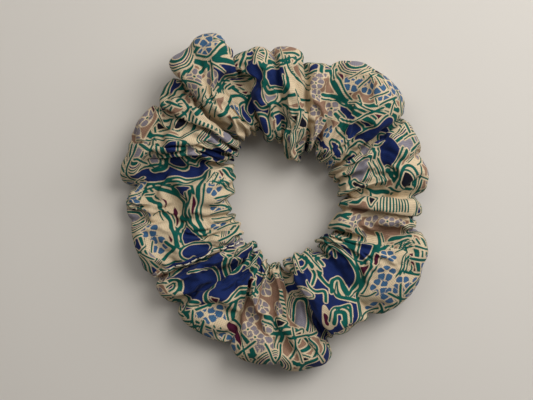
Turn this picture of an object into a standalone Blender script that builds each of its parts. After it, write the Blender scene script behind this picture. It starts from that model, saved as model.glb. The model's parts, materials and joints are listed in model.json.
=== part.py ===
"""A gathered hair scrunchie: a printed cotton tube bunched up on a ring of flat elastic.

Metres, +Z up. The ring lies flat on Z = 0, and the origin is the bottom centre of its box.
The cover is one sewn tube on the real thing. It is built here as thirteen gathers, so that the
ring can stretch: each gather slides away from the one before it, along the line between their centres.
"""

import math

import bmesh
import bpy
from mathutils import Vector

MM = 0.001

# The ring is built clockwise, and its first crease is the closing seam.
CREASES = (
    # angle round the ring, and how far the crease leans from pointing outward, in degrees
    (213.5, -10),
    (188.0, -2),
    (164.0, 34),
    (128.0, 6),
    (107.0, 1),
    (76.0, 12),
    (34.5, 0),
    (5.0, -5),
    (-15.0, 16),
    (-50.0, 0),
    (-76.0, 18),
    (-110.5, -2),
    (-132.0, -15),
    (-146.5, -10),
)
GATHERS = (
    # hole radius, outer radius and height in mm, and how far along the gather it swells most
    (17.5, 56.5, 17.0, 0.50),
    (18.5, 56.5, 18.0, 0.50),
    (24.0, 59.5, 21.0, 0.62),
    (26.0, 69.0, 22.0, 0.74),
    (19.0, 57.5, 23.0, 0.50),
    (22.5, 58.0, 22.0, 0.66),
    (22.0, 55.0, 21.0, 0.45),
    (20.5, 51.5, 20.0, 0.50),
    (19.5, 56.5, 21.0, 0.50),
    (19.5, 52.5, 22.0, 0.40),
    (22.0, 59.5, 20.0, 0.38),
    (19.0, 55.0, 19.0, 0.50),
    (17.0, 55.5, 18.0, 0.50),
)
CREASE_IN = 3.4  # how far the outer edge dips between two gathers
CREASE_OUT = 1.3  # how far the hole's edge draws back there
CREASE_DOWN = 3.2  # how far the top dips there
SWELL_POWER = 0.75  # 1 rises from a crease as a sine does, and less rises faster
GATHER_GAP = 0.36  # between the end faces of neighbours
SEAM_GAP = 1.3  # between the tube's two ends, where the closing seam's thread lies
SPANS = 6  # steps along a gather
RIM_POINTS = 20  # points round a gather's section
SECTION_POWER = 2.35  # 2 is an ellipse, and more is squarer
FLAT_SHARE = 0.07  # how much of a section's height the table presses flat

# The flat elastic, and the channel that it runs in.
ELASTIC_IN = 8.0  # from the hole's edge to the elastic
ELASTIC_SMOOTHING = range(-32, 33, 8)  # degrees, over which the hole's edge is averaged
ELASTIC_HEIGHT = 5.0
ELASTIC_THICK = 0.9
ELASTIC_Z = 7.6
LAYER_STEP = 1.25  # between the middles of the two layers where the ends overlap
OVERLAP_START = -44.0
OVERLAP_SWEEP = 28.0
ELASTIC_STEPS = 84
CHANNEL_HALF_WIDTH = 2.7
CHANNEL_HALF_HEIGHT = 4.1
CHANNEL_CORNER = 1.2

# Threads, as tubes of their real diameter.
THREAD_D = 0.36
JOIN_TURNS = 5  # overcast turns that hold the elastic's ends together
JOIN_LENGTH = 7.5
JOIN_CLEAR = 0.3  # from the elastic to the thread's surface
JOIN_CORNER = 0.5
TUBE_SEAM_IN = 2.2  # from the elastic, towards the hole
TUBE_SEAM_UP = 1.6  # from the middle of the elastic
TUBE_SEAM_POINTS = 84
CLOSING_STITCHES = 28
CLOSING_INSET = 1.1  # from the cover's surface in to the middle of the thread
CLOSING_WAVE = (-0.22, 0.45, -0.22)  # how far one stitch goes in and out

COLOURS = {
    "printed_cotton": (0.60, 0.50, 0.36),
    "elastic": (0.86, 0.85, 0.82),
    "thread": (0.80, 0.74, 0.62),
}


def clear_scene():
    for old in list(bpy.data.objects):
        bpy.data.objects.remove(old)


def material(name, roughness):
    made = bpy.data.materials.new(name)
    made.use_nodes = True
    shader = made.node_tree.nodes["Principled BSDF"]
    shader.inputs["Base Color"].default_value = (*COLOURS[name], 1.0)
    shader.inputs["Roughness"].default_value = roughness
    shader.inputs["Metallic"].default_value = 0.0
    return made


def mix(low, high, share):
    return low + (high - low) * share


def around(angle, radius, height=0.0):
    turn = math.radians(angle)
    return Vector((radius * math.cos(turn), radius * math.sin(turn), height))


def rounded(turn, half_width, half_height):
    """(across, z) on a squarish oval, at an angle in radians."""
    c, s = math.cos(turn), math.sin(turn)
    power = 2 / SECTION_POWER
    across = half_width * math.copysign(abs(c) ** power, c)
    return across, half_height * math.copysign(abs(s) ** power, s)


def crease_size(index):
    """(hole radius, outer radius, height) at the crease before gather index."""
    before, after = GATHERS[index - 1], GATHERS[index % len(GATHERS)]
    hole = mix(before[0], after[0], 0.5) + CREASE_OUT
    outer = mix(before[1], after[1], 0.5) - CREASE_IN
    height = mix(before[2], after[2], 0.5) - CREASE_DOWN
    return hole, outer, height


def size_at(index, share):
    """(hole radius, outer radius, height) of gather index, at a share of its sweep."""
    *full, peak = GATHERS[index]
    lean = math.log(0.5) / math.log(peak)
    swell = math.sin(math.pi * share**lean) ** SWELL_POWER
    ends = zip(crease_size(index), crease_size(index + 1), full)
    return [mix(mix(low, high, share), most, swell) for low, high, most in ends]


def hole_radius(angle):
    """The radius of the hole's edge at an angle in degrees, for creases that point outward."""
    turned = CREASES[0][0] - (CREASES[0][0] - angle) % 360
    index = 0
    while turned < CREASES[index + 1][0] and index < len(GATHERS) - 1:
        index += 1
    begin, end = CREASES[index][0], CREASES[index + 1][0]
    return size_at(index, min((begin - turned) / (begin - end), 1.0))[0]


def elastic_radius(angle):
    """The elastic follows the hole's edge smoothly."""
    holes = [hole_radius(angle + step) for step in ELASTIC_SMOOTHING]
    return sum(holes) / len(holes) + ELASTIC_IN


class Slice:
    """An upright plane across the tube: its middle, and its directions outward and on round the ring."""

    def __init__(self, index, share):
        begin, end = CREASES[index], CREASES[index + 1]
        angle, lean = mix(begin[0], end[0], share), mix(begin[1], end[1], share)
        hole, outer, self.height = size_at(index, share)
        self.slant = math.cos(math.radians(lean))
        self.half = (outer - hole) / 2 / self.slant
        self.middle = around(angle, (hole + outer) / 2)
        self.outward = around(angle + lean, 1.0)
        self.along = around(angle + lean - 90, 1.0)

    def point(self, across, z, shift=0.0):
        return self.middle + self.outward * across + self.along * shift + Vector((0, 0, z))

    def oval(self):
        """(across, z) round the puffed cover, pressed flat where it rests on the table."""
        half_height = self.height * (1 + FLAT_SHARE) / 2
        points = []
        for step in range(RIM_POINTS):
            across, rise = rounded(math.tau * (step + 0.5) / RIM_POINTS, self.half, half_height)
            points.append((across, max(self.height - half_height + rise, 0.0)))
        return points

    def channel(self):
        """(across, z) round the elastic's channel: a rectangle with its corners cut."""
        offset = 0.0
        for _ in range(20):
            spot = self.middle + self.outward * offset
            offset += elastic_radius(math.degrees(math.atan2(spot.y, spot.x))) - spot.length
        w, h, cut = CHANNEL_HALF_WIDTH / self.slant, CHANNEL_HALF_HEIGHT, CHANNEL_CORNER
        corners = (
            (w, h - cut), (w - cut, h), (cut - w, h), (-w, h - cut),
            (-w, cut - h), (cut - w, -h), (w - cut, -h), (w, cut - h),
        )
        return [(offset + across, ELASTIC_Z + z) for across, z in corners]


def gather_centre(index):
    """The middle of a gather. The first and last share the closing seam, where they are sewn together."""
    if index in (0, len(GATHERS) - 1):
        return Slice(0, 0.0).middle
    return Slice(index, 0.5).middle


def loop_of(bm, points):
    return [bm.verts.new(point * MM) for point in points]


def skin(bm, before, after):
    for i, vert in enumerate(before):
        j = (i + 1) % len(before)
        bm.faces.new((vert, before[j], after[j], after[i]))


def end_face(bm, rim, bore):
    """The flat end between a section's rim and the channel's edge."""
    edges = []
    for loop in (rim, bore):
        edges += [bm.edges.get((vert, loop[i - 1])) for i, vert in enumerate(loop)]
    bmesh.ops.triangle_fill(bm, use_beauty=True, edges=edges)


def mesh_of(bm, name, sharp_angle=40.0):
    bmesh.ops.recalc_face_normals(bm, faces=bm.faces[:])
    mesh = bpy.data.meshes.new(name)
    bm.to_mesh(mesh)
    bm.free()
    mesh.shade_smooth()
    mesh.set_sharp_from_angle(angle=math.radians(sharp_angle))
    return mesh


def place(name, data, parent, finish):
    obj = bpy.data.objects.new(name, data)
    bpy.context.scene.collection.objects.link(obj)
    obj.parent = parent
    data.materials.append(finish)
    return obj


def gather(index, joint, finish):
    """One puff of the cover, with the elastic's channel through it."""
    bm = bmesh.new()
    centre = gather_centre(index)
    start_gap = SEAM_GAP if index == 0 else GATHER_GAP
    end_gap = SEAM_GAP if index == len(GATHERS) - 1 else GATHER_GAP
    shifts = [start_gap / 2] + [0.0] * (SPANS - 1) + [-end_gap / 2]
    rims, bores = [], []
    for step, shift in enumerate(shifts):
        cut = Slice(index, step / SPANS)
        for loops, section in ((rims, cut.oval()), (bores, cut.channel())):
            loops.append(loop_of(bm, [cut.point(*spot, shift) - centre for spot in section]))
    for step in range(SPANS):
        skin(bm, rims[step], rims[step + 1])
        skin(bm, bores[step], bores[step + 1])
    end_face(bm, rims[0], bores[0])
    end_face(bm, rims[-1], bores[-1])
    name = f"cover_gather_{index + 1:02d}"
    return place(name, mesh_of(bm, name), joint, finish)


def elastic_band(root, finish):
    """One strip of flat elastic. It spirals out a little, so that its ends overlap side by side."""
    bm = bmesh.new()
    half_r, half_z = ELASTIC_THICK / 2, ELASTIC_HEIGHT / 2
    corners = ((half_r, half_z), (-half_r, half_z), (-half_r, -half_z), (half_r, -half_z))
    sweep = 360 + OVERLAP_SWEEP
    loops = []
    for step in range(ELASTIC_STEPS + 1):
        share = step / ELASTIC_STEPS
        angle = OVERLAP_START + sweep * share
        radius = elastic_radius(angle) + LAYER_STEP * (share - 0.5) * sweep / 360
        loops.append(loop_of(bm, [around(angle, radius + r, ELASTIC_Z + z) for r, z in corners]))
    for before, after in zip(loops, loops[1:]):
        skin(bm, before, after)
    bm.faces.new(loops[0])
    bm.faces.new(reversed(loops[-1]))
    return place("elastic_band", mesh_of(bm, "elastic_band"), root, finish)


def thread(name, points, closed, root, finish):
    """A thread of the real diameter along points given in millimetres."""
    curve = bpy.data.curves.new(name, "CURVE")
    curve.dimensions = "3D"
    curve.bevel_depth = THREAD_D / 2 * MM
    curve.bevel_resolution = 1
    curve.use_fill_caps = not closed
    line = curve.splines.new("POLY")
    line.points.add(len(points) - 1)
    for spot, point in zip(line.points, points):
        spot.co = (*(point * MM), 1.0)
    line.use_cyclic_u = closed
    return place(name, curve, root, finish)


def elastic_join_thread(root, finish):
    """Overcast turns round the two layers, where the elastic's ends are sewn together."""
    angle = OVERLAP_START + OVERLAP_SWEEP / 2
    base = around(angle, elastic_radius(angle), ELASTIC_Z)
    outward, along = around(angle, 1.0), around(angle + 90, 1.0)
    w = (LAYER_STEP + ELASTIC_THICK + THREAD_D) / 2 + JOIN_CLEAR
    h = (ELASTIC_HEIGHT + THREAD_D) / 2 + JOIN_CLEAR
    cut = JOIN_CORNER
    turn = (
        (w, cut - h), (w, 0), (w, h - cut), (w - cut, h), (cut - w, h),
        (-w, h - cut), (-w, 0), (-w, cut - h), (cut - w, -h), (w - cut, -h),
    )
    count = JOIN_TURNS * len(turn)
    points = []
    for step in range(count + 1):
        across, up = turn[step % len(turn)]
        advance = JOIN_LENGTH * (step / count - 0.5)
        points.append(base + outward * across + along * advance + Vector((0, 0, up)))
    return thread("elastic_join_thread", points, False, root, finish)


def tube_seam_thread(root, finish):
    """The lengthwise seam that makes the cover a tube. It faces the hole, inside the cover."""
    points = []
    for step in range(TUBE_SEAM_POINTS):
        angle = 360 * step / TUBE_SEAM_POINTS
        radius = elastic_radius(angle) - TUBE_SEAM_IN
        points.append(around(angle, radius, ELASTIC_Z + TUBE_SEAM_UP))
    return thread("tube_seam_thread", points, True, root, finish)


def closing_seam_thread(root, finish):
    """Running stitches round the cover, where one end of the tube is sewn into the other."""
    seam = Slice(0, 0.0)
    count = CLOSING_STITCHES * len(CLOSING_WAVE)
    points = []
    for step in range(count):
        inset = CLOSING_INSET + CLOSING_WAVE[step % len(CLOSING_WAVE)]
        half_height = seam.height / 2
        across, rise = rounded(math.tau * step / count, seam.half - inset, half_height - inset)
        points.append(seam.point(across, half_height + rise))
    return thread("closing_seam_thread", points, True, root, finish)


def empty(name, parent, location):
    made = bpy.data.objects.new(name, None)
    bpy.context.scene.collection.objects.link(made)
    made.parent = parent
    made.location = location
    return made


def centre_on_origin(root, solids):
    """Moves the root so that the middle of the object's box is over the origin."""
    bpy.context.view_layer.update()
    corners = [obj.matrix_world @ Vector(corner) for obj in solids for corner in obj.bound_box]
    for axis in (0, 1):
        values = [corner[axis] for corner in corners]
        root.location[axis] -= (min(values) + max(values)) / 2


def build():
    clear_scene()
    cotton = material("printed_cotton", 0.8)
    elastic = material("elastic", 0.7)
    cord = material("thread", 0.6)
    root = empty("scrunchie", None, Vector())

    solids = []
    joint, before = root, Vector()
    for index in range(len(GATHERS)):
        centre = gather_centre(index)
        name = "gather_01" if index == 0 else f"stretch_{index:02d}"
        joint = empty(name, joint, (centre - before) * MM)
        before = centre
        solids.append(gather(index, joint, cotton))
    solids.append(elastic_band(root, elastic))
    solids.append(elastic_join_thread(root, cord))
    solids.append(tube_seam_thread(root, cord))
    solids.append(closing_seam_thread(root, cord))
    centre_on_origin(root, solids)


build()
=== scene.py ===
"""The looks of the hair scrunchie: printed cotton gathered on a ring of elastic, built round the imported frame."""

import json
import math

import bmesh
import bpy
import numpy as np
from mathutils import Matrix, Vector
from mathutils.bvhtree import BVHTree

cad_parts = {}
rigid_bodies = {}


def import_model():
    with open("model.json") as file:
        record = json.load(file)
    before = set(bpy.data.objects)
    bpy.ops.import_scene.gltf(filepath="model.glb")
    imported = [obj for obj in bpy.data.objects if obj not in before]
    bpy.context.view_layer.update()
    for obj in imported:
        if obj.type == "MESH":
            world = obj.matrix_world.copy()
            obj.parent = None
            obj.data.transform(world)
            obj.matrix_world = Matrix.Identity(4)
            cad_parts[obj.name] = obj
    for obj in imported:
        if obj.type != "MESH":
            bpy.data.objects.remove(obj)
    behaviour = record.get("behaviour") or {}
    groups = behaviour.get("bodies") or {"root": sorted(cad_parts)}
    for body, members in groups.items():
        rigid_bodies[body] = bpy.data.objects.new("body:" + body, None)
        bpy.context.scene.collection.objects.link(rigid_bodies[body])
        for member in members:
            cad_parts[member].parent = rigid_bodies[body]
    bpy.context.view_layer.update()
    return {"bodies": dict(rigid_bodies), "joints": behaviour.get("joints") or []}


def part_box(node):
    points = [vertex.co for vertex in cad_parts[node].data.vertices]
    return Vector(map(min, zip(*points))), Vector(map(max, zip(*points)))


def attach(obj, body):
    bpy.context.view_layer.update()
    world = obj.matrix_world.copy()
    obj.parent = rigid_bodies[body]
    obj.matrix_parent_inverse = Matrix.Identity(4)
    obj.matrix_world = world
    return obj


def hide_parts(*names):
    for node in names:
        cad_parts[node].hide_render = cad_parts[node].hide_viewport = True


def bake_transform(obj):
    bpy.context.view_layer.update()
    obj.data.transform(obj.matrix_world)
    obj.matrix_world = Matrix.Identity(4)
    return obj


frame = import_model()
MM = 0.001
SIM_SCALE = 10.0  # the cloth is simulated ten times too big, where Blender's collision distances work
STRETCH = 0.8  # how far the joints' limits stretch the ring

# ---- the ring's layout -------------------------------------------------------------------------

SEAM_ANGLE, SEAM_RADIUS = 213.5, 35.31
FOLDS = np.array(
    [
        # crease angle, lean, depth | and of the puff that follows: lean over, hole, outer, height
        (213.5, -10, 0.62, 0.5, 17.5, 56.5, 17.5),
        (188.0, -2, 0.38, -1.5, 18.5, 57.0, 18.5),
        (164.0, 34, 1.00, -2.5, 24.0, 60.0, 19.0),
        (151.0, 24, 0.42, -2.0, 24.0, 61.0, 21.0),
        (139.0, 14, 0.60, -1.5, 26.0, 61.5, 20.0),
        (128.0, 6, 1.00, 1.0, 28.5, 67.0, 20.5),
        (117.5, 4, 0.10, 1.0, 28.0, 68.8, 22.0),
        (107.0, 1, 1.00, 0.5, 24.0, 58.5, 22.0),
        (91.0, 6, 0.50, -1.5, 17.5, 57.5, 23.0),
        (76.0, 12, 0.90, 0.0, 22.0, 53.5, 20.0),
        (66.0, 8, 0.60, 2.0, 22.0, 59.5, 23.0),
        (34.5, 0, 1.00, -2.0, 21.5, 55.5, 21.0),
        (19.0, -3, 0.38, -1.0, 22.0, 55.0, 20.0),
        (5.0, -5, 0.90, 0.0, 22.0, 51.5, 19.0),
        (-6.0, 4, 0.55, 0.0, 19.0, 51.5, 19.0),
        (-15.0, 16, 0.90, -2.0, 19.0, 57.0, 21.0),
        (-50.0, 0, 0.85, 2.5, 19.0, 53.0, 22.0),
        (-76.0, 18, 1.00, 1.0, 21.0, 60.5, 18.0),
        (-94.0, 8, 0.50, 0.5, 21.5, 58.5, 19.0),
        (-110.5, -2, 0.90, 1.5, 19.0, 55.0, 18.0),
        (-132.0, -15, 0.95, 1.0, 17.0, 55.5, 18.5),
        (-146.5, -10, 1.00, 0.0, 17.5, 56.5, 17.5),
    ]
)
PUFF_POWER = 2.3  # along the ring. 2 is a round puff, and more is squarer
SECTION_POWER = 2.25  # the same, round the tube
# how far a full crease draws in the hole's edge, the outer edge, the top and the underside
CREASE_HOLE, CREASE_OUTER, CREASE_TOP, CREASE_UNDER = 6.0, 4.8, 8.0, 1.8
USUAL_HEIGHT = 20.0
LEAN_FROM = 0.35  # the share of the height below which a puff doesn't lean over
FULLER = 1.07  # the section before its underside is cut flat, against its height
ROWS, COLUMNS = 280, 44  # of the grid that is simulated
FINER = 4  # steps of the final grid in each of those
TUBE_ROUND = 96.0  # the strip's width, between its seams
SLACK = 1.04
GROWTH, HOLE_GROWTH = 1.8, 0.6  # how far the puffs swell in the simulation
EXTRA_CLOTH = 0.06  # how much longer than the first shape the cloth wants to be, both ways
PLEAT_LENGTH, PLEAT_DEPTH, PLEAT_DRIFT = 7.0, 1.15, 0.9
PLEAT_MIDDLE, PLEAT_REACH = 0.12, 0.26  # shares of the way round the tube, from the hole's edge
NOISE = 0.9
START_GAP, FLOOR_GAP = 0.15, 0.05  # between the cloth and the floor, before and after the simulation
FRAMES = 16


def joints_path():
    """The bodies' centres in mm, read from the closing seam's place and the joints' axes and ranges."""
    low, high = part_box("closing_seam_thread")
    centres = [np.array((low + high) / 2)[:2] / MM]
    for joint in frame["joints"]:
        step = np.array(joint["axis"])[:2] * joint["range_m"][1] / STRETCH / MM
        centres.append(centres[-1] + step)
    return np.array(centres)


CENTRES = joints_path()
turn = math.radians(SEAM_ANGLE)
RING = CENTRES[0] - SEAM_RADIUS * np.array((math.cos(turn), math.sin(turn)))


def stations():
    """Rows along the tube: angle, lean, crease depth 0 to 1, lean over, hole, outer, height."""
    rows = []
    for here, after, before, beyond in zip(
        FOLDS[:-1], FOLDS[1:], np.roll(FOLDS[:-1], 1, 0), np.roll(FOLDS[:-1], -1, 0)
    ):
        s = np.sin(np.linspace(-1, 1, 200) * math.pi / 2)[:, None]
        share = (s + 1) / 2
        swell = (1 - abs(s) ** PUFF_POWER) ** (1 / PUFF_POWER)
        ends = (before[4:] + here[4:]) / 2, (here[4:] + beyond[4:]) / 2
        plain = ends[0] + (ends[1] - ends[0]) * share
        size = plain + (here[4:] - plain) * swell
        depth = (here[2] + (after[2] - here[2]) * share) * (1 - swell)
        turned = here[:2] + (after[:2] - here[:2]) * share
        rows.append(np.hstack([turned, depth, here[3] * (1 - s**2), size])[:-1])
    return np.vstack(rows)


def tube_points(row):
    """COLUMNS points round the tube at one station, from the hole's edge over the top."""
    angle, lean, depth, over, hole, outer, height = row
    hole = hole - HOLE_GROWTH + CREASE_HOLE * depth
    outer = outer - GROWTH - CREASE_OUTER * depth
    top = height - GROWTH - CREASE_TOP * depth * height / USUAL_HEIGHT
    under = CREASE_UNDER * depth
    half = (outer - hole) / 2 / math.cos(math.radians(lean))
    spin = np.linspace(0, math.tau, 360, endpoint=False)
    c, s = np.cos(spin), np.sin(spin)
    power = 2 / SECTION_POWER
    x = -np.sign(c) * abs(c) ** power * half
    tall = (top - under) / 2 * FULLER
    z = np.maximum(top - tall + np.sign(s) * abs(s) ** power * tall, under)
    x, z = np.append(x, x[0]), np.append(z, z[0])
    along = np.append(0, np.cumsum(np.hypot(np.diff(x), np.diff(z))))
    even = np.linspace(0, along[-1], COLUMNS, endpoint=False)
    x, z = np.interp(even, along, x), np.interp(even, along, z)
    a, b = math.radians(angle), math.radians(angle + lean)
    middle = np.array((math.cos(a), math.sin(a))) * (outer + hole) / 2
    outward, on = np.array((math.cos(b), math.sin(b))), np.array((math.sin(b), -math.cos(b)))
    shift = over * np.clip((z - height * LEAN_FROM) / (height * (1 - LEAN_FROM)), 0, 1)
    flat = RING + middle + outward * x[:, None] + on * shift[:, None]
    return np.hstack([flat, z[:, None]])


def surface_normals(points):
    """Unit normals, pointing out of the tube, of the grid's points."""
    on = np.gradient(points, axis=0)
    around = np.roll(points, -1, 1) - np.roll(points, 1, 1)
    normal = np.cross(on, around)
    return normal / np.maximum(np.linalg.norm(normal, axis=2, keepdims=True), 1e-9)


def pleats(points, length, rng):
    """Offsets that start the tight pleats along the hole's edge."""
    u = np.linspace(0, length, len(points))[:, None]
    around = np.arange(COLUMNS)[None] / COLUMNS
    from_hole = abs((around + 0.5 + PLEAT_MIDDLE) % 1 - 0.5)
    share = np.clip(1.25 - from_hole / PLEAT_REACH, 0, 1)
    drift = np.interp(u[:, 0], np.linspace(0, length, 60), np.cumsum(rng.normal(0, PLEAT_DRIFT, 60)))[:, None]
    wave = np.sin(math.tau * u / PLEAT_LENGTH + drift + 1.1 * np.sin(math.tau * around + drift * 0.5))
    return surface_normals(points) * (-PLEAT_DEPTH * share * wave)[..., None]


def gathered_tube():
    """(points in mm, cloth's length in mm, crease depth of each row) before the simulation."""
    rows = stations()
    fine = np.array([tube_points(row) for row in rows])
    steps = np.linalg.norm(np.diff(fine, axis=0), axis=2)
    girth = np.linalg.norm(fine - np.roll(fine, 1, 1), axis=2).sum(1)
    # the cloth is shared out by the tube's surface, so that no puff has less than it covers
    along = np.append(0, np.cumsum(steps.mean(1) * (girth[1:] + girth[:-1]) / 2))
    along *= steps[:, COLUMNS // 5 : COLUMNS // 2 + 2].mean(1).sum() / along[-1]
    even = np.linspace(0, along[-1], ROWS + 1)
    pick = np.interp(even, along, np.arange(len(along)))
    low = np.minimum(pick.astype(int), len(rows) - 2)
    share = (pick - low)[:, None, None]
    points = fine[low] * (1 - share) + fine[low + 1] * share
    rng = np.random.default_rng(7)
    noise = rng.normal(0, NOISE, points.shape)
    for _ in range(3):
        noise = sum(np.roll(noise, r, axis) for r, axis in ((0, 0), (1, 0), (-1, 0), (1, 1), (-1, 1))) / 5
    points += noise + pleats(points, along[-1] * SLACK, rng)
    points[..., 2] = np.maximum(points[..., 2], START_GAP)
    return points, along[-1] * SLACK, np.interp(even, along, rows[:, 2])


# ---- meshes --------------------------------------------------------------------------------------


def grid_faces(rows, columns):
    """Quads of a tube whose points run row by row."""
    index = np.arange(rows * columns).reshape(rows, columns)
    beside = np.roll(index, -1, 1)
    return np.stack([index[:-1], index[1:], beside[1:], beside[:-1]], -1)


def level_square(name, half):
    """A level square mesh, this far from its middle to its sides."""
    corners = [(-half, -half, 0), (half, -half, 0), (half, half, 0), (-half, half, 0)]
    return mesh_from(name, np.array(corners, float), np.array([[0, 1, 2, 3]]))


def mesh_from(name, points, faces, uvs=None):
    """A smooth mesh of quads, from arrays."""
    made = bpy.data.meshes.new(name)
    faces = np.ascontiguousarray(faces.reshape(-1, 4), np.int32)
    made.vertices.add(len(points))
    made.vertices.foreach_set("co", np.ascontiguousarray(points, np.float32).ravel())
    made.loops.add(faces.size)
    made.loops.foreach_set("vertex_index", faces.ravel())
    made.polygons.add(len(faces))
    made.polygons.foreach_set("loop_start", np.arange(0, faces.size, 4, dtype=np.int32))
    made.update(calc_edges=True)
    if uvs is not None:
        layer = made.uv_layers.new(name="cloth")
        layer.data.foreach_set("uv", np.ascontiguousarray(uvs, np.float32).ravel())
    made.shade_smooth()
    return made


def link(name, data):
    """A new object in the scene."""
    obj = bpy.data.objects.new(name, data)
    bpy.context.scene.collection.objects.link(obj)
    return obj


# ---- the cloth simulation --------------------------------------------------------------------------


HOLD_ALL, HOLD_HOLE, HOLD_OUTER, HOLD_CREASE = 0.045, 0.35, 0.06, 0.25
HOLD_REACH = 0.06  # how far the hold on an edge reaches, as a share of the way round
SHALLOW = 0.35  # creases less deep than this aren't held


def relaxed(points, depth):
    """The tube after its slack has buckled into gathers. Its creases and its two edges are held softly."""
    scale = MM * SIM_SCALE
    tube = link("tube", mesh_from("tube", points.reshape(-1, 3) * scale, grid_faces(ROWS + 1, COLUMNS)))
    across = abs((np.arange(COLUMNS) / COLUMNS + 0.5) % 1 - 0.5)
    at_hole, at_outer = (np.exp(-(((across - edge) / HOLD_REACH) ** 2)) for edge in (0, 0.5))
    hold = HOLD_ALL + HOLD_HOLE * at_hole + HOLD_OUTER * at_outer
    hold = hold[None] + HOLD_CREASE * np.clip(depth - SHALLOW, 0, 1)[:, None]
    hold[0] = hold[-1] = 1.0
    held = tube.vertex_groups.new(name="held")
    level = np.round(hold.ravel(), 2)
    for value in np.unique(level):
        held.add(np.flatnonzero(level == value).tolist(), float(value), "REPLACE")

    cloth = tube.modifiers.new("Cloth", "CLOTH")
    s, c = cloth.settings, cloth.collision_settings
    s.quality, s.mass, s.air_damping = 5, 0.12, 2.0
    s.tension_stiffness, s.compression_stiffness, s.shear_stiffness = 40, 25, 12
    s.tension_damping, s.compression_damping, s.shear_damping = 15, 15, 8
    s.bending_model, s.bending_stiffness, s.bending_damping = "ANGULAR", 4.0, 4.0
    s.vertex_group_mass, s.pin_stiffness = "held", 6
    s.shrink_min = -EXTRA_CLOTH
    s.use_pressure, s.uniform_pressure_force = True, -1.0
    s.effector_weights.gravity = 0.3
    c.collision_quality, c.use_self_collision = 2, True
    c.self_distance_min = c.distance_min = 0.006
    c.self_friction = 8

    table = link("table", level_square("table", 2))
    table.modifiers.new("Collision", "COLLISION")
    table.collision.thickness_outer, table.collision.cloth_friction = 0.004, 20

    cloth.point_cache.frame_start, cloth.point_cache.frame_end = 1, FRAMES + 1
    for number in range(1, FRAMES + 2):
        bpy.context.scene.frame_set(number)
    found = tube.evaluated_get(bpy.context.evaluated_depsgraph_get()).data
    moved = np.empty(points.size, np.float32)
    found.vertices.foreach_get("co", moved)
    for helper in (tube, table):
        bpy.data.objects.remove(helper)
    bpy.context.scene.frame_set(1)
    return moved.reshape(points.shape).astype(float) / scale


def finer(points, times):
    """A cubic B-spline through the grid's rows and round its columns, with times as many steps."""
    t = np.arange(times) / times
    basis = np.stack([(1 - t) ** 3, 3 * t**3 - 6 * t**2 + 4, -3 * t**3 + 3 * t**2 + 3 * t + 1, t**3]) / 6
    beside = np.concatenate([2 * points[:1] - points[1:2], points, 2 * points[-1:] - points[-2:-1]])
    points = points * 4 / 3 - (beside[:-2] + beside[2:]) / 6
    points = points * 4 / 3 - (np.roll(points, 1, 1) + np.roll(points, -1, 1)) / 6
    rows = np.concatenate([2 * points[:1] - points[1:2], points, 2 * points[-1:] - points[-2:-1]])
    spans = sum(basis[i][None, :, None, None] * rows[i : len(rows) - 3 + i, None] for i in range(4))
    rows = np.concatenate([spans.reshape(-1, *points.shape[1:]), points[-1:]])
    ring = [np.roll(rows, 1 - i, 1) for i in range(4)]
    spans = sum(basis[i][None, None, :, None] * ring[i][:, :, None] for i in range(4))
    return spans.reshape(len(rows), -1, 3)


tube, cloth_length, crease_depth = gathered_tube()
tube = relaxed(tube, crease_depth)
tube = finer(tube, FINER)
tube[..., 2] = np.maximum(tube[..., 2], FLOOR_GAP)

# ---- the print ------------------------------------------------------------------------------------
# A generic print of curling lines, small flowers and nested arches, in the real cotton's colours. It is kept as
# distances in mm, worked out at each point of the mesh: below 0 is inside a shape. Most shapes are placed as seen
# from above, in mm from the ring's centre. The rest are placed on the cloth itself: u runs along the tube from the
# closing seam, and v round it from the hole's edge over the top.

rows, columns = tube.shape[:2]
ALONG, ROUND = cloth_length / (rows - 1), TUBE_ROUND / columns
u_of = np.linspace(0, cloth_length, rows)
upward = surface_normals(tube)[..., 2] > 0.05
upward[:, int(columns * 0.56) : int(columns * 0.97)] = False  # the underside
COLOURS = ("tan", "cobalt", "grey", "navy", "plum", "teal", "line", "blue", "mauve", "arch", "hatch")
OUTLINE, PATTERN_OUTLINE, FLOWER_OUTLINE, BESIDE_OUTLINE = 0.45, 0.2, 0.15, 0.3
BOLD = 1.15  # every line's width against the width that its call gives
FINE, BROAD = 0.99, 1.49  # lines no wider than fine share a field, and those wider than broad have a thin one beside
THIN, BESIDE = 0.8, 1.15  # that thin line's width, and how far it is from the broad one's edge
TEAL_RIM = {"cobalt": 0.95, "navy": 0.7, "grey": 0.6}  # some shapes have a teal line round their cream outline
LINE_REACH, PATTERN_REACH = 0.3, 0.6  # how far past its edge a fine line or a pattern keeps its own values
OUTSIDE, UNSEEN, LONGEST_STEP = 9.0, 99.0, 45
fields = {name: np.full((rows, columns), OUTSIDE) for name in COLOURS}
side = np.full((rows, columns), OUTSIDE)  # across the nearest fine line, in half widths
local = np.zeros((rows, columns, 3))  # a flower's own x and y, and an arch's or a hatch's distance
draw = np.random.default_rng(11)


def on_top(places):
    """(u, v) on the cloth of places seen from above. Each is near the one before, along the tube."""
    found = []
    gap_x, gap_y = tube[..., 0] - RING[0], tube[..., 1] - RING[1]
    for x, y in places:
        gap = np.where(upward, np.hypot(gap_x - x, gap_y - y), UNSEEN)
        if found:
            gap += UNSEEN * (abs(u_of[:, None] - found[-1][0]) > LONGEST_STEP)
        highest = np.where(gap < gap.min() + 0.4, tube[..., 2], -1.0)
        i, j = np.unravel_index(highest.argmax(), highest.shape)
        v = j * ROUND
        found.append((u_of[i], v - TUBE_ROUND if v > TUBE_ROUND * 0.9 else v))
    return np.array(found)


def on_cloth(u, v=0.0, flip=1):
    """A way to place shapes on the cloth itself, from (u, v) on. A flip of -1 turns them over."""
    return lambda places: np.array([(u + x, v + flip * y) for x, y in places], float)


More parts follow.
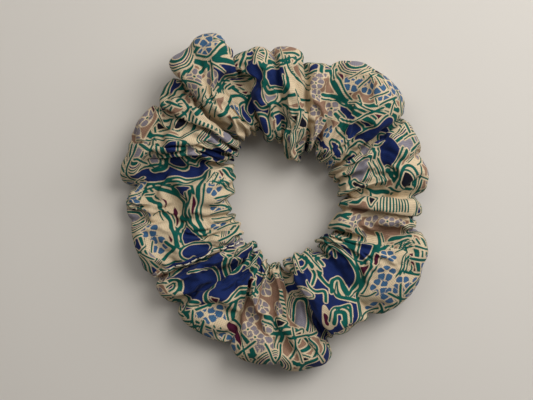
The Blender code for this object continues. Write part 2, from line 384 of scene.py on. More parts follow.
def pairs(places):
    """The x and y of places written as "1,2 3,4"."""
    return [tuple(map(float, place.split(","))) for place in places.split()]


def spot(points, reach):
    """The mesh points near these places: their indices, and their u and v."""
    low, high = points.min(0) - reach, points.max(0) + reach
    i = np.arange(max(int(low[0] / ALONG), 0), min(int(high[0] / ALONG) + 2, rows))
    j = np.arange(math.floor(low[1] / ROUND), math.ceil(high[1] / ROUND) + 1)[:columns]
    return np.ix_(i, j % columns), (i * ALONG)[:, None], (j * ROUND)[None]


def paint(colour, where, distance, outline=OUTLINE):
    """Puts a shape of this colour on the cloth over what is there, with a cream outline."""
    for name, field in fields.items():
        if name == colour:
            field[where] = np.minimum(field[where], distance)
        else:
            field[where] = np.maximum(field[where], outline - distance + LINE_REACH * (name == "line"))


def smooth_path(points, closed=False, steps=7):
    """A Catmull-Rom curve through the points."""
    ends = (points[-1:], points[:2]) if closed else (2 * points[:1] - points[1:2], 2 * points[-1:] - points[-2:-1])
    p = np.concatenate([ends[0], points, ends[1]])
    t = np.linspace(0, 1, steps, endpoint=False)[:, None]
    spans = [
        0.5 * (2 * b + (c - a) * t + (2 * a - 5 * b + 4 * c - d) * t**2 + (3 * b - a - 3 * c + d) * t**3)
        for a, b, c, d in zip(p, p[1:], p[2:], p[3:])
    ]
    return np.concatenate(spans + ([] if closed else [points[-1:]]))


def nearest(path, u, v):
    """(distance, side of the path) of each mesh point from a path."""
    best = np.full(np.broadcast(u, v).shape, 1e9)
    left = np.ones_like(best)
    for a, b in zip(path, path[1:]):
        way = b - a
        t = np.clip(((u - a[0]) * way[0] + (v - a[1]) * way[1]) / max(way @ way, 1e-9), 0, 1)
        far = np.hypot(u - a[0] - t * way[0], v - a[1] - t * way[1])
        cross = way[0] * (v - a[1]) - way[1] * (u - a[0])
        left = np.where(far < best, np.where(cross < 0, -1.0, 1.0), left)
        best = np.minimum(best, far)
    return best, left


def line(width, places, to=on_top):
    """A teal line. The broadest have a thinner one beside them."""
    width *= BOLD
    path = smooth_path(to(pairs(places) if isinstance(places, str) else places))
    if width > BROAD:
        along = np.gradient(path, axis=0)
        across = np.stack([-along[:, 1], along[:, 0]], -1) / (np.linalg.norm(along, axis=1)[:, None] + 1e-9)
        beside = path + across * (width / 2 + BESIDE) * (1 if int(path[0, 0] + path[0, 1]) % 2 else -1)
        where, u, v = spot(beside, 3)
        paint("teal", where, nearest(beside, u, v)[0] - THIN / 2, BESIDE_OUTLINE)
    where, u, v = spot(path, width + 2)
    far, left = nearest(path, u, v)
    if width > FINE:
        paint("teal", where, far - width / 2)
        return
    closer = far - width / 2 < fields["line"][where]
    side[where] = np.where(closer, left * far * 2 / width, side[where])
    paint("line", where, far - width / 2)


def area(colour, places, to=on_top, pointed=False):
    """A patch of one colour with a soft or a pointed outline."""
    points = to(pairs(places))
    path = points if pointed else smooth_path(points, closed=True)
    path = np.concatenate([path, path[:1]])
    where, u, v = spot(path, 3)
    far, _ = nearest(path, u, v)
    crossings = np.zeros(far.shape, int)
    for a, b in zip(path, path[1:]):
        rising = (a[1] > v) != (b[1] > v)
        meets = a[0] + (v - a[1]) * (b[0] - a[0]) / (b[1] - a[1] if b[1] != a[1] else 1e-9)
        crossings += rising & (u < meets)
    distance = np.where(crossings % 2, -far, far)
    if colour in TEAL_RIM:
        paint("teal", where, distance - OUTLINE - TEAL_RIM[colour])
    paint(colour, where, distance)


def facet(colour, places, to=on_top):
    area(colour, places, to, pointed=True)


def flowers(colour, radius, places, to=on_top):
    """A five-petal flower at each place, turned at random."""
    for place in pairs(places):
        middle = to([place])[0]
        size = radius * draw.uniform(1.04, 1.16)
        where, u, v = spot(middle[None], size + 1.5)
        turn = draw.uniform(0, math.tau)
        x, y = (u - middle[0]) / size, (v - middle[1]) / size
        distance = (np.hypot(x, y) - 1) * size
        closer = distance < np.minimum(fields["blue"][where], fields["mauve"][where])
        own = np.stack([x * math.cos(turn) - y * math.sin(turn), x * math.sin(turn) + y * math.cos(turn)], -1)
        local[where[0], where[1], :2] = np.where(closer[..., None], own, local[where[0], where[1], :2])
        paint(colour, where, distance, FLOWER_OUTLINE)


def stems(count, stalk, step, width=0.5, to=on_top):
    """Thin lines side by side, like the stalks of grass. A step says how far each end moves to the next."""
    for number in range(count):
        ends = np.add(pairs(stalk), np.multiply(pairs(step), number))
        line(width, [ends[0], ends.mean(0) + (0.4, 0.2), ends[1]], to)


def beside_line(places, reach, to):
    """The mesh points near a straight line, its length, and how far ahead on it and across it they are."""
    a, b = to(pairs(places))
    length = np.linalg.norm(b - a)
    way = (b - a) / length
    where, u, v = spot(np.array([a, b]), reach)
    ahead = (u - a[0]) * way[0] + (v - a[1]) * way[1]
    across = (v - a[1]) * way[0] - (u - a[0]) * way[1]
    return where, length, ahead, across


def paint_pattern(kind, where, distance, value):
    """Puts a shape on the cloth whose own stripes the material draws from a value."""
    own = local[..., 2]
    own[where] = np.where(distance < PATTERN_REACH, value, own[where])
    paint(kind, where, distance, PATTERN_OUTLINE)


def arches(size, places, to=on_top):
    """Nested arches round a place, with their open end towards a second place."""
    where, length, ahead, across = beside_line(places, size + 2, to)
    ring = np.hypot(across, np.minimum(ahead * 0.85, 0))
    paint_pattern("arch", where, np.maximum(ring - size, ahead - length), ring / size)


def hatch(pitch, wide, places, to=on_top):
    """A band of stripes across a straight line."""
    where, length, ahead, across = beside_line(places, wide / 2 + 1, to)
    distance = np.maximum(abs(across) - wide / 2, abs(ahead - length / 2) - length / 2)
    paint_pattern("hatch", where, distance, ahead / pitch)


def background_tile(u, v, flip):
    """One repeat of the print, for the cloth that isn't seen from above."""
    to = on_cloth(u, v, flip)
    area("tan", "2,2 14,0 20,9 13,15 3,12", to=to)
    area("cobalt", "24,2 38,-1 44,10 36,18 27,13", to=to)
    area("cobalt", "2,27 13,22 22,28 16,40 5,38", to=to)
    facet("plum", "21,16 25,18 24,24 21,21", to=to)
    facet("plum", "44,20 47,27 42,30", to=to)
    arches(7, "30,33 30,42", to=to)
    arches(6, "48,5 55,9", to=to)
    flowers("mauve", 2.9, "6,5 12,8 7,11 15,3", to=to)
    flowers("blue", 2.9, "44,36 50,33 49,40 55,37 51,27", to=to)
    line(1.3, "-3,20 10,18 22,12 27,22 40,24 52,16 62,19", to=to)
    line(1.1, "25,-4 21,6 27,14 36,8 33,4 30,8", to=to)
    line(1.1, "5,44 8,33 15,30 14,26 10,28", to=to)
    line(0.6, "38,44 42,34 38,26", to=to)
    line(0.6, "57,30 53,22 56,12", to=to)


for number in range(8):
    for half in range(2):
        background_tile(number * 60 - 4, half * 50 - 2 + 12 * (number % 2), 1 if half else -1)

# the puffs seen from above, in turn from the closing seam: lower left, up the left side, and on round
area("cream", "-58,-2 -56,-16 -50,-21 -38,-18 -18,-14 -16,-4 -18,8 -28,15 -44,8")
area("cobalt", "-45,7 -39,10 -34,9 -28,12 -29,15 -36,14 -42,12")
area("cobalt", "-38,6 -34,7 -32,4 -33,-6 -29,-14 -36,-14 -35,-6 -36,3")
line(1.6, "-49,5 -43,0 -39,-8 -37,-14")
line(1.3, "-45,6 -39,4 -35.5,-2 -37,-13")
line(1.3, "-33,5 -33.5,-5 -30,-8 -27,-10")
line(1.5, "-27,12 -29.5,6 -29,-6 -27,-11")
facet("plum", "-44,3 -41,2 -41,-2")
area("plum", "-38.5,0 -37,-3 -37.5,-7 -38.5,-4")
area("plum", "-31.5,3 -30.5,0 -31.2,-5 -32,-1")
facet("plum", "-40.5,-10 -38.8,-12 -39.5,-14.5")
facet("plum", "-27,-5.5 -25.6,-8 -26.6,-9.5")
flowers("blue", 3.3, "-55.5,-1.5 -49.5,-2.5 -47.5,-9 -43.5,-14.5 -55.5,-8.5 -52.5,-6.5")
flowers("blue", 3.2, "-23.5,6 -21.5,-0.5 -22.5,-6.8 -18.5,9")
stems(5, "-54.5,-11 -55,-18", "2,-0.4 1.9,-1.2")
stems(3, "-19.5,3 -15.5,-3", "0.2,-3.2 0,-2.8")
stems(3, "-26,9 -23.5,12", "1.8,-0.8 1.8,0")
line(0.5, "-45.5,-4 -43.5,-2.5 -42.5,-5")
line(1.3, "-57,1 -52.5,5.5 -46,7.5 -40,8.5")
line(0.6, "-55.5,-0.5 -51,3.5 -46,4")
line(1.2, "-48,-21 -42,-19.5 -38.5,-16 -41,-13.5")
line(0.7, "-46,-22 -40,-21.5 -35,-20 -24,-15.5")
line(0.7, "-30.5,-16 -26,-11.5 -21,-10.5 -16,-7")
facet("plum", "-47,-19.5 -43.5,-18.5 -44.5,-21")
facet("plum", "-22,12 -19.5,13.5 -20.5,10.5")
arches(5.5, "-18,-14.5 -16,-9")
arches(5, "-50,-22.5 -46,-17")
area("cobalt", "-34,-15.5 -27,-14 -26,-17 -33,-19")

# the left puffs, up to the fold at the top left
area("cream", "-56,24 -54,12 -42,13 -20,20 -18,25 -32,31 -33,42 -45,43 -54,33")
area("cobalt", "-56,13 -55,7 -46,8 -37,11 -27,15 -18,18 -18,22 -27,19 -37,17 -46,13")
area("cobalt", "-44,21 -35,22 -34,15 -40,15")
arches(7, "-51.5,19.5 -50,28")
arches(6, "-24,23 -20,28")
facet("grey", "-45,18 -41,15 -45.5,14")
facet("grey", "-33.5,21 -29,18 -33,17")
line(1.3, "-44,22 -40.5,17 -41,14 -46,12")
line(1.3, "-34,22 -35,18 -31,15.5 -25,17")
facet("cobalt", "-52,30 -49,30 -49,26 -52,26.5")
facet("navy", "-46.5,31 -41,27 -47,25.5")
area("navy", "-38,32 -34,31 -34.5,28 -38,28")
area("navy", "-45,40 -40,41.5 -42,37.5 -45,37")
facet("navy", "-48.5,38 -46,36 -48,34.5")
area("tan", "-46,33 -37,35 -36,33 -43,31.5")
area("tan", "-46,25 -37,26 -36,24 -43,23")
facet("tan", "-36,38.5 -32,39 -32.5,35")
line(1.2, "-49,33 -47.5,40 -42,43 -36,42")
line(0.9, "-48,33 -45,38.5 -40,40 -33,41")
line(1.2, "-49,33 -42,36 -36,39 -33,40")
line(0.6, "-48.5,32.5 -41,35 -35,36.5")
line(1.0, "-47.5,33 -47,25 -47.5,18")
line(0.6, "-46,33 -45.3,25 -46,17")
line(1.0, "-48,32 -41,30.5 -36,31 -32,35")
line(1.2, "-54,28 -44,25.5 -34,25.5 -31,31")
line(0.6, "-53,26.5 -44,24 -35,24 -29,27")
line(0.9, "-40,27 -39,35 -35,38 -32,33")
hatch(1.5, 5.5, "-33,31.5 -21,26.5")

# the tall fold at the top left
area("cream", "-24,64 -16,55 -11,45 -12,32 -20,27 -30,31 -35,43 -36,53")
facet("tan", "-36,48 -30,50 -27,45 -30,37 -34,38")
area("cobalt", "-25,48.5 -18,49 -12,46.5 -15,44.5 -20,42 -23,45")
flowers("mauve", 3.2, "-30.5,45.5 -24.5,43.5 -31.5,40 -28.5,36.8")
flowers("blue", 3.1, "-27.3,55.2 -23.8,60.2 -20.8,57.2")
area("plum", "-35,51 -31.5,53 -29.5,52.5 -33,50.2")
facet("plum", "-25,53.2 -21.5,54.6 -22,52.8")
facet("plum", "-18,51.8 -14,50.8 -16.5,52.8")
line(1.5, "-36,48 -31,51 -24,51 -17,54")
line(1.2, "-28,46.5 -25,50.5 -19,53.5")
line(1.2, "-24,51 -18,50.5 -12.5,48.5")
line(1.3, "-21,40.5 -18,45.5 -11.5,47")
line(1.3, "-24,37.5 -19,42.5 -11.5,39.5")
line(0.6, "-20,41 -16,44 -12,44")
line(1.5, "-30,32.5 -28,36 -26.5,40")
stems(4, "-27.5,32 -26,38", "1.9,-0.6 1.8,-0.4")
stems(3, "-31,50.5 -33,46.5", "-1.4,-0.6 -1.2,-1")
line(0.6, "-34,55 -30,56.5")
facet("plum", "-17,43.5 -12.5,43 -14,42.2")
facet("plum", "-14,41 -11.5,40.8 -12,39.8")
facet("tan", "-23,37 -20,39 -20,33")
flowers("blue", 2.6, "-17.5,36 -14,32.5")
line(1.2, "-22,31 -19,34 -16.5,39.5 -11,36")
line(0.9, "-19,27 -16.5,30.5 -12,29.5")
area("cobalt", "-12.5,36 -10.5,34 -10.5,29 -12.5,31")
facet("tan", "-19.5,31 -17.5,32 -17,28")
stems(3, "-22.5,40 -25,35.5", "-1.6,0.8 -1.4,0.2")

# the top puffs
area("cream", "-9,59 3,58 11,53 10,30 3,20 -5,26 -9,40")
area("cobalt", "-12,57 -9,52 -7,46 -4,40 -6,31 -11,33 -10,42 -12,50")
arches(7, "-3.5,54 -4,60")
area("grey", "-6,47 -2,50 -4,44")
area("cobalt", "-4.5,48.5 -0.5,49.5 1.5,43 -3,41")
area("grey", "-6,41 -2,39 -5,36.5")
line(1.4, "-7,49 -2,50.5 0,54 2,55")
line(1.3, "-7,43 -4,39.5 1.5,40.5 2.5,45")
line(0.6, "-0.5,57 4,47 10,41")
line(0.6, "1,57 5.5,47 10,43.5")
line(0.6, "2.5,56.5 7,48 10,46")
line(0.7, "-2,50.5 4,52 10,52.8")
line(0.7, "-2,49.2 4,50.8 10,51.4")
area("tan", "4,51 6.5,49 8.5,43.5 5.5,47")
facet("navy", "7,50.5 9.5,51 9,47")
area("tan", "1,36 8,36.5 8,34.5 1.5,34")
facet("navy", "2.5,32 5.5,32 4.5,28.5")
area("navy", "6.5,31 9,30 9,27 6.5,27")
facet("cobalt", "-2,31.5 1,31 1,27.5 -1,27.5")
line(1.0, "-4,31.5 0,36 4,38 10,37.5")
line(0.8, "-3,33.5 3,33.5 10,33")
line(0.7, "0,35 2,28 3,22")
line(0.7, "1.5,35 3.5,28 4.5,22")
line(1.0, "-3.5,26 3,25.8 10,26.5")
line(0.7, "-3,28 -1,24 2.5,20")
facet("cobalt", "2.2,25 4.2,24.5 3.5,20.5")
area("cobalt", "-8,31 -5,30 -4.5,25.5 -7.5,26")
facet("tan", "-3.5,29.5 -2,30 -2.5,25")
facet("navy", "5,26 7,26 6,22")
line(0.9, "-9,28.5 -5,23.5 -3,24.5")
stems(3, "5.5,26 5,21", "1.5,0.3 0.9,0.6", 0.6)
line(1.1, "-9,36 -6,34 -3,36.5 0,34.5")
line(0.7, "5.5,40 6.5,34 6,27")

# the narrow pleat, and the broad puff at the top right
area("tan", "11,53 16,52 16,40 15,24 11,25 11,40")
flowers("mauve", 2.5, "14.8,47.5 12.2,43.5 13,38.8 12.6,33.8 13.2,29 12.6,25")
area("tan", "17,51 30,52 44,42 44,34 30,34 18,39")
area("cream", "22,51 34,49 40,45 30,46.5")
area("cream", "17,38 30,35 43,33 38,30 22,22 15,24")
facet("tan", "17,46 20,41 19.5,39.5 16.5,40")
area("cobalt", "18,35.5 22,36 26,31.5 32,28 27,27.5 21,31")
flowers("blue", 3.0, "24.5,43.3 30.5,42.0 36.5,39.5 41.5,40.8")
area("plum", "18.5,50.5 20,50.5 22,45 21,44")
facet("plum", "23,39.5 25.5,39.5 24.5,38")
facet("plum", "26,33.8 28.5,32.5 29.5,30")
facet("plum", "31.5,33 37,32 34,29.6")
line(1.6, "15.5,51 18.5,46 21.5,38 25.5,32.5 32,28.5")
line(1.5, "15.5,39.5 22,37.5 29,35.5 42,33.5")
stems(6, "21.5,50.8 23.5,46.4", "2.6,-0.8 2.9,-0.9")
line(0.5, "27,39 28.5,36")
line(0.5, "33,38 33.5,36")
line(0.5, "40,37.5 41,35")
flowers("mauve", 3.0, "17.5,34.5")
line(1.1, "15,30 20,29 27,25.5")
line(1.3, "19,33 22,27 25,24")
flowers("blue", 2.6, "16.5,26.5 20.5,21")
area("cobalt", "22.5,25.5 25.5,28.5 28,26 25,23.5")
area("cobalt", "17.5,22.5 19,18.5 22,16.5 20.5,20")
line(0.7, "16,31.5 19.5,26 24.5,21")
line(0.7, "21,31 24.5,29.5 30,31.5 36,34")
facet("tan", "17,31 20,29.5 18,27.5")
line(0.6, "24,37 30,33.5 38,31.5 43,31")
area("cobalt", "26,23 33,27 39.5,30.5 41,26 36,22 30,19")
line(1.4, "24,22 27,19 33,22 38,21 42,25 41,31")

# the right side
area("cream", "34,24 44,29 52,18 50,4 34,4 23,8 22,16")
area("cobalt", "35,25 42,24 41,16 36,12 34,18")
arches(6.5, "47.5,23 43,19")
arches(7, "29,14.5 26,8")
area("tan", "43,19 45.5,17 41,10 38,5 35.5,8 38,11")
area("navy", "43.5,11 46.5,10 45.5,5.5 42.5,7")
line(1.3, "33,20 33.5,14 36,9 37.5,13 40,8.5 41,14 45,19")
line(1.1, "40,4 43,13 47,14 48,8 46,3")
line(0.6, "49.5,19 50.5,12 49,6")
line(0.6, "51,16 52,10 50.8,4")
area("navy", "26,8 30,7 28.5,4.5 25.5,5")
line(0.7, "24,19 29,22 34,21 36,23")
facet("grey", "28,20.5 31.5,21 30,18.5")
stems(3, "31.5,15 34,7", "1.6,0.6 1.7,0", 0.7)
facet("cobalt", "23.5,16 26.5,18.5 25.5,14.5")
line(0.8, "34,3.5 38,6 42,4.5 47,5.5")
line(1.0, "22,12 25,7 31,5.5 38,4.5")
hatch(1.35, 7, "31.5,1.2 46,1.2")
area("tan", "24,0.5 31,1 31,-2.5 25,-3")
facet("navy", "31.5,3.5 33.5,2.5 32,0.5")
line(1.1, "22,2 27,1.5 33,4")
line(0.6, "47,4 49,0 47.5,-4")
line(0.6, "49,4 51,0 49.5,-4")
area("tan", "17,-8 30,-4 50,-6 50,-12 38,-12 24,-9.5")
flowers("mauve", 2.8, "21,-6 26.5,-5.6 32,-5.4 37.5,-5.8 43,-6.8 48,-9")

# the puffs at the lower right
area("cream", "20,-11 36,-11 50,-14 50,-27 40,-38 25,-42 22,-28 17,-17")
flowers("mauve", 3.3, "29.5,-11")
area("tan", "35,-11 42,-11.5 37,-15")
facet("cobalt", "25,-13 32,-14 30.5,-20 25.5,-18.5")
line(1.3, "21,-9 24,-15 24,-19")
line(1.3, "27,-9 25.5,-13 25,-18")
line(1.5, "34.5,-10.5 32,-18 29,-28 27.5,-40")
line(1.3, "32,-19.5 38,-13.5 46,-10.5")
line(0.9, "28,-21 32,-17 36,-15")
facet("plum", "33.5,-16.5 35,-17 34,-21 33,-20.5")
facet("plum", "27.5,-21.5 30.5,-20.8 28.8,-25")
facet("plum", "37,-13.4 46,-11.2 45,-12.8")
facet("plum", "45,-17 46.5,-16.5 48,-24 46.5,-24.5")
line(1.4, "46.5,-12.5 48.5,-18 49,-24")
flowers("blue", 3.0, "38.3,-17.5 36.8,-23.5 34,-29.0 43.5,-28 38.8,-32.5 34,-36.5 45,-34 48,-29")
stems(4, "40.5,-24.5 44,-15.5", "1.7,0.2 0.7,-2")
stems(3, "40.5,-13.5 45,-12", "0.4,-1.3 0.6,-1.4")
line(0.5, "39,-14.5 43,-12.5")
line(0.6, "20,-33 28,-32.5 33,-31")
area("cobalt", "13,-16 20,-14 26,-20 27,-27 27,-33 26,-42 16,-45 6,-42 1,-30 4,-21 9,-17")
line(1.3, "14.5,-24 13.5,-18.5 17.5,-15 22,-18 26.5,-22 27,-27 24,-31 21.5,-26.5 18.5,-26.5 18,-30")
line(1.1, "13,-23.5 17,-28 21,-32 27,-33.5")
line(1.0, "9,-17 8,-22 4,-24")
arches(7.5, "7,-36.5 6,-46")
area("grey", "5,-31.5 10,-32 7.5,-29.8")
area("cream", "14.5,-36 16,-37 18,-43 15,-43")
area("plum", "15,-38 16.2,-39 16.6,-42.5 15.4,-42")
line(1.4, "18.5,-42 19.5,-37.5 22,-37.5 23,-42")
line(1.2, "22,-41 26,-44 30,-43")
line(1.0, "9.5,-27 12,-30 15.5,-30 16,-34")
line(0.8, "10,-21 12.5,-24.5 11,-27.5")
line(0.9, "20,-36 24,-35 25,-39")
area("cobalt", "-5,-26 -1,-24.5 1.5,-27 -2,-30")
line(1.0, "-8,-25 -4,-22.5 1,-23.5 4,-20")
line(0.7, "-2,-20 -1,-26 1,-29")
stems(3, "-7,-23 -9,-29", "-1.8,0.3 -1.8,0.6")

# the puffs at the bottom
area("tan", "-2,-26 2,-30 3,-40 14,-48 12,-56 -8,-58 -17,-48 -14,-38 -10,-28")
hatch(1.5, 5, "0.5,-30 0.5,-41.5")
facet("navy", "-2,-41 2,-41.5 -1,-44")
line(1.3, "-3,-45.5 2,-45 6,-45.5")
flowers("mauve", 3.1, "-5.6,-29.6 -10.5,-32.5 -6.5,-36 -10.5,-39.5 -5,-42.5 -9,-46.5 -4.5,-49.5")
line(1.6, "-6,-40 -2,-43")
line(1.3, "2,-57 -1,-51 0,-46")
line(1.2, "3,-49 6,-52 10,-50 8,-46")
line(1.2, "4,-56 9,-57 12,-53")
flowers("mauve", 2.9, "-13,-35.5 -12,-44 -1.5,-37 -1.5,-53.5 -8.5,-53")
facet("navy", "4.5,-45.5 8,-44.5 6,-48")
facet("navy", "8,-54 11,-55.5 8.5,-57")
line(0.6, "4,-43 5,-50 2,-56")
line(0.7, "2,-47.5 7,-46.5 13,-45.5")
line(0.8, "10,-47 13,-50 12,-54")
area("cream", "-16,-36 -38,-33 -32,-44 -24,-52 -14,-55 -12,-50 -17,-42")
flowers("blue", 3.0, "-20.2,-38.5 -26.5,-39 -32,-37.5")
stems(7, "-33,-41 -27,-48.2", "2.3,-0.7 1.9,-0.8", 0.55)
flowers("mauve", 2.9, "-21,-52.5 -14.5,-55 -26.5,-52")
line(0.9, "-37,-36 -35,-41 -30,-46")
area("cobalt", "-37.5,-38 -35,-38.5 -34.5,-42 -36.5,-41")
line(1.4, "-15.5,-34 -17,-41 -13,-48 -9.5,-54")
area("plum", "-18.5,-42 -17.2,-42.5 -14,-50 -12.5,-53.5 -17.5,-47")
facet("plum", "-29,-47 -26,-49 -27.5,-50")
area("cobalt", "-44,-28 -31,-21 -9,-14.5 -7,-22 -9,-30 -17,-34 -36,-36")
line(1.4, "-44,-30 -39.5,-26.5 -36,-27.5 -37,-31 -41,-34 -30,-35")
line(1.1, "-31,-19 -30.5,-25 -30.5,-35")
line(1.2, "-33,-23.5 -26,-23 -22.5,-25.5 -24.5,-29 -27,-31 -25,-36")
line(1.5, "-18.5,-17.5 -20,-21.5 -16.5,-24 -13,-21 -10.5,-23 -11,-28 -17,-32")
line(1.3, "-8.5,-14 -8.3,-22 -8,-31")
line(0.6, "-21,-17.5 -12,-20.5 -5,-25")
line(0.7, "-20,-35 -15,-29.5 -10,-29")
facet("plum", "-25,-33 -22,-33.5 -23,-35.5")
facet("plum", "-10.5,-26 -9,-26.5 -11.5,-31")
area("cream", "-37.5,-34.5 -35.5,-31 -34.5,-35")

# the outer wall, which only shows from the side
for number in range(27):
    to, kind = on_cloth(number * 18.0 + draw.uniform(-2, 2)), (number * 3) % 5
    line(1.0, "-2,41 6,42.5 12,40.8 19,42", to=to)
    if kind == 0:
        area("cobalt", "0,43 9,41.5 17,44 14,52 3,53", to=to)
        line(1.3, "2,47 6,44 10,48 7,50.5 14,49.5 16,45", to=to)
    elif kind == 1:
        flowers("blue", 3.1, "3,44 9.5,45.5 15.5,43.8 5,51 12,52", to=to)
        line(0.7, "0,48 7,47.5 13,49 18,47", to=to)
    elif kind == 2:
        area("tan", "0,43 8,41.5 16,43 14,52 2,53", to=to)
        flowers("mauve", 2.9, "4,45.5 10.5,46 6,51", to=to)
        facet("plum", "13,46 15,46.5 13.5,51", to=to)
    elif kind == 3:
        arches(6.5, "8,44.5 10,52", to=to)
        facet("navy", "15,43 18,44 16,48", to=to)
    else:
        stems(6, "1,43 4,50", "2.4,0.4 2.4,-0.3", 0.7, to=to)
        area("cobalt", "3,51 10,50 15,52 8,55", to=to)
        line(1.2, "0,52 6,48.5 12,49 17,52", to=to)

# the stalks that run over the hole's edge and over the outer edge
for number in range(64):
    turned = math.tau * number / 64
    for near, far, wide in ((17, 25, 0.8), (50, 57, 0.6)):
        near, far = near + draw.uniform(-1, 1), far + draw.uniform(-2, 2)
        bend = turned + draw.uniform(-0.12, 0.12)
        polar = (near, turned), ((near + far) / 2, (turned + bend) / 2), (far, bend)
        line(wide * draw.uniform(0.6, 1.4), [(reach * math.cos(way), reach * math.sin(way)) for reach, way in polar])


# ---- the closing seam ------------------------------------------------------------------------------
# One end of the tube is folded in, laps over the other end and is stitched down through both.

LAP_ROWS, HEM_ROWS, RISE_ROWS = 6, 9, 10
LAP_OVER, LAP_UNDER, HEM_IN = 0.62, 0.22, 0.3  # how far the lap's two layers and the hem lie off the cloth
normals = surface_normals(tube)
rise = np.linspace(1, 0, RISE_ROWS)[:, None, None] ** 2
tube[-RISE_ROWS:] += normals[-RISE_ROWS:] * rise[::-1] * LAP_OVER * 0.8
tube[:RISE_ROWS] -= normals[:RISE_ROWS] * rise * LAP_UNDER
start, start_normals = tube[1 : LAP_ROWS + 1], normals[1 : LAP_ROWS + 1]
start_rise = LAP_UNDER * rise[1 : LAP_ROWS + 1]
over = start + start_normals * (start_rise + LAP_OVER)
fold = tube[LAP_ROWS + 1][None] + normals[LAP_ROWS + 1][None] * (LAP_UNDER + LAP_OVER) / 2
back = (start + start_normals * (start_rise + LAP_UNDER))[::-1]
hem = (tube[-HEM_ROWS:] - normals[-HEM_ROWS:] * HEM_IN)[::-1]
stitch_normals = start_normals[LAP_ROWS // 2]
stitch_line = over[LAP_ROWS // 2] + stitch_normals * 0.08
tube = np.concatenate([tube, over, fold, back, hem])
tube[..., 2] = np.maximum(tube[..., 2], FLOOR_GAP)
extra_rows = len(tube) - rows
mirrored = np.concatenate([np.arange(rows), rows - 2 - np.arange(extra_rows)])  # the print goes on, mirrored
fields = {name: field[mirrored] for name, field in fields.items()}
side, local = side[mirrored], local[mirrored]
seam_rows = np.zeros(len(tube), bool)  # what stays with the bodies on either side of the seam
seam_rows[:4] = seam_rows[rows - 4 :] = True
rows = len(tube)


def attribute_pack(data, used):
    """Stores the print's distances on a piece's points, three to an attribute."""
    flat = {name: field.ravel()[used] for name, field in fields.items()}
    packs = {
        "print_a": (flat["tan"], flat["cobalt"], flat["grey"]),
        "print_b": (flat["navy"], flat["plum"], flat["line"]),
        "print_c": (flat["blue"], flat["mauve"], flat["arch"]),
        "print_d": (flat["hatch"], side.ravel()[used], flat["teal"]),
        "print_own": local.reshape(-1, 3)[used].T,
    }
    for name, parts in packs.items():
        layer = data.attributes.new(name, "FLOAT_VECTOR", "POINT")
        layer.data.foreach_set("vector", np.stack(parts, -1).astype(np.float32).ravel())


# ---- materials -------------------------------------------------------------------------------------


class Nodes:
    """Short calls for building a node tree."""

    def __init__(self, name):
        self.look = bpy.data.materials.new(name)
        self.look.use_nodes = True
        self.tree = self.look.node_tree
        self.shader = self.tree.nodes["Principled BSDF"]

    def add(self, kind, inputs=(), **settings):
        node = self.tree.nodes.new(kind)
        for key, value in settings.items():
            setattr(node, key, value)
        for key, value in dict(inputs).items():
            if isinstance(value, bpy.types.NodeSocket):
                self.tree.links.new(value, node.inputs[key])
            else:
                node.inputs[key].default_value = value
        return node

    def math(self, operation, a, b=0.0, c=0.0):
        return self.add("ShaderNodeMath", {0: a, 1: b, 2: c}, operation=operation).outputs[0]

    def below(self, value, limit=0.0, soft=0.09):
        """1 where value is under limit, 0 above, with a soft edge."""
        node = self.add("ShaderNodeMapRange", {0: value, 1: limit - soft, 2: limit + soft, 3: 1.0, 4: 0.0})
        return node.outputs[0]

    def mix(self, share, a, b):
        node = self.add("ShaderNodeMix", {0: share, 6: a, 7: b}, data_type="RGBA")
        return node.outputs[2]

    def wave(self, vector, scale, distortion, way, **inputs):
        inputs |= {"Vector": vector, "Scale": scale, "Distortion": distortion}
        return self.add("ShaderNodeTexWave", inputs, bands_direction=way).outputs[1]

    def parts(self, name):
        """The three parts of a piece's attribute."""
        held = self.add("ShaderNodeAttribute", attribute_name=name)
        return self.add("ShaderNodeSeparateXYZ", {0: held.outputs["Vector"]}).outputs

    def finish(self, **inputs):
        for key, value in inputs.items():
            name = key.replace("_", " ")
            if isinstance(value, bpy.types.NodeSocket):
                self.tree.links.new(value, self.shader.inputs[name])
            else:
                self.shader.inputs[name].default_value = value
        return self.look


def srgb(red, green, blue):
    """A colour for a shader from its 0 to 255 parts."""
    return (*(((c / 255 + 0.055) / 1.055) ** 2.4 for c in (red, green, blue)), 1)


CREAM, TAN, COBALT = srgb(212, 191, 158), srgb(144, 112, 92), srgb(18, 36, 86)
GREY, NAVY, PLUM = srgb(132, 127, 136), srgb(9, 12, 28), srgb(70, 14, 42)
TEAL, BLUE, MAUVE = srgb(2, 84, 74), srgb(58, 94, 128), srgb(126, 118, 124)


